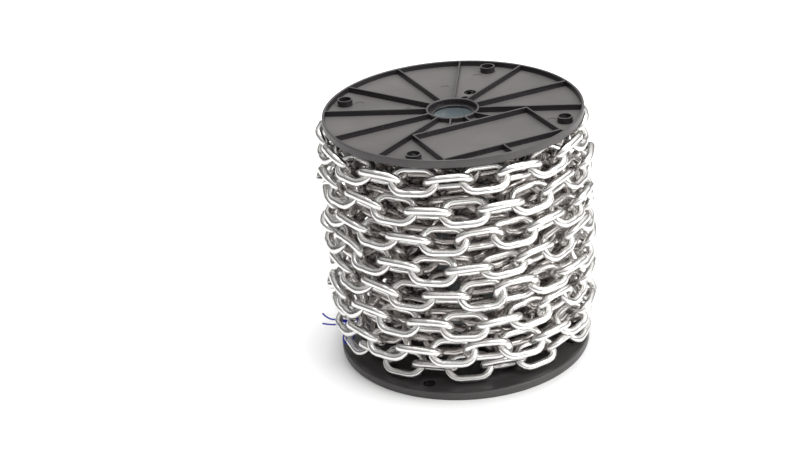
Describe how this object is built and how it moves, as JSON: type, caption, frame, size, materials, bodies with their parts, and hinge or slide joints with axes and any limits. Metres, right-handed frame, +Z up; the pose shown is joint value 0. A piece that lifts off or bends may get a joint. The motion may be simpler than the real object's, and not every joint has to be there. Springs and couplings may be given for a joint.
{
  "type": "reel of steel link chain",
  "caption": "Black plastic reel with ribbed flanges, wound with bright steel link chain whose loose end is tied with a blue coated wire.",
  "frame": {"origin": "centre of the foot of the reel: on the reel's axis, on the floor that the lower flange's rim stands on", "axes": "+Z up along the reel's axis, -Y towards the side where the chain's loose end shows, on its -X end"},
  "size_m": [0.229, 0.2285, 0.21],
  "materials": {
    "flange_plastic": "black moulded plastic, satin outside and glossy with fine scratches inside",
    "barrel_plastic": "blue-grey moulded plastic",
    "chain_steel": "bright zinc-plated steel",
    "inner_chain_steel": "the same plated steel, in shade",
    "tie_coating": "blue plastic coating on thin wire"
  },
  "bodies": {
    "root": {"flange_top": "flange_plastic", "flange_bottom": "flange_plastic", "barrel": "barrel_plastic", "chain_core": "inner_chain_steel", "chain_row_1": "chain_steel", "chain_row_2": "chain_steel", "chain_row_3": "chain_steel", "chain_row_4": "chain_steel", "chain_row_5": "chain_steel", "chain_row_6": "chain_steel", "chain_row_7": "chain_steel", "chain_row_8": "chain_steel", "tie_wire": "tie_coating"}
  },
  "joints": []
}
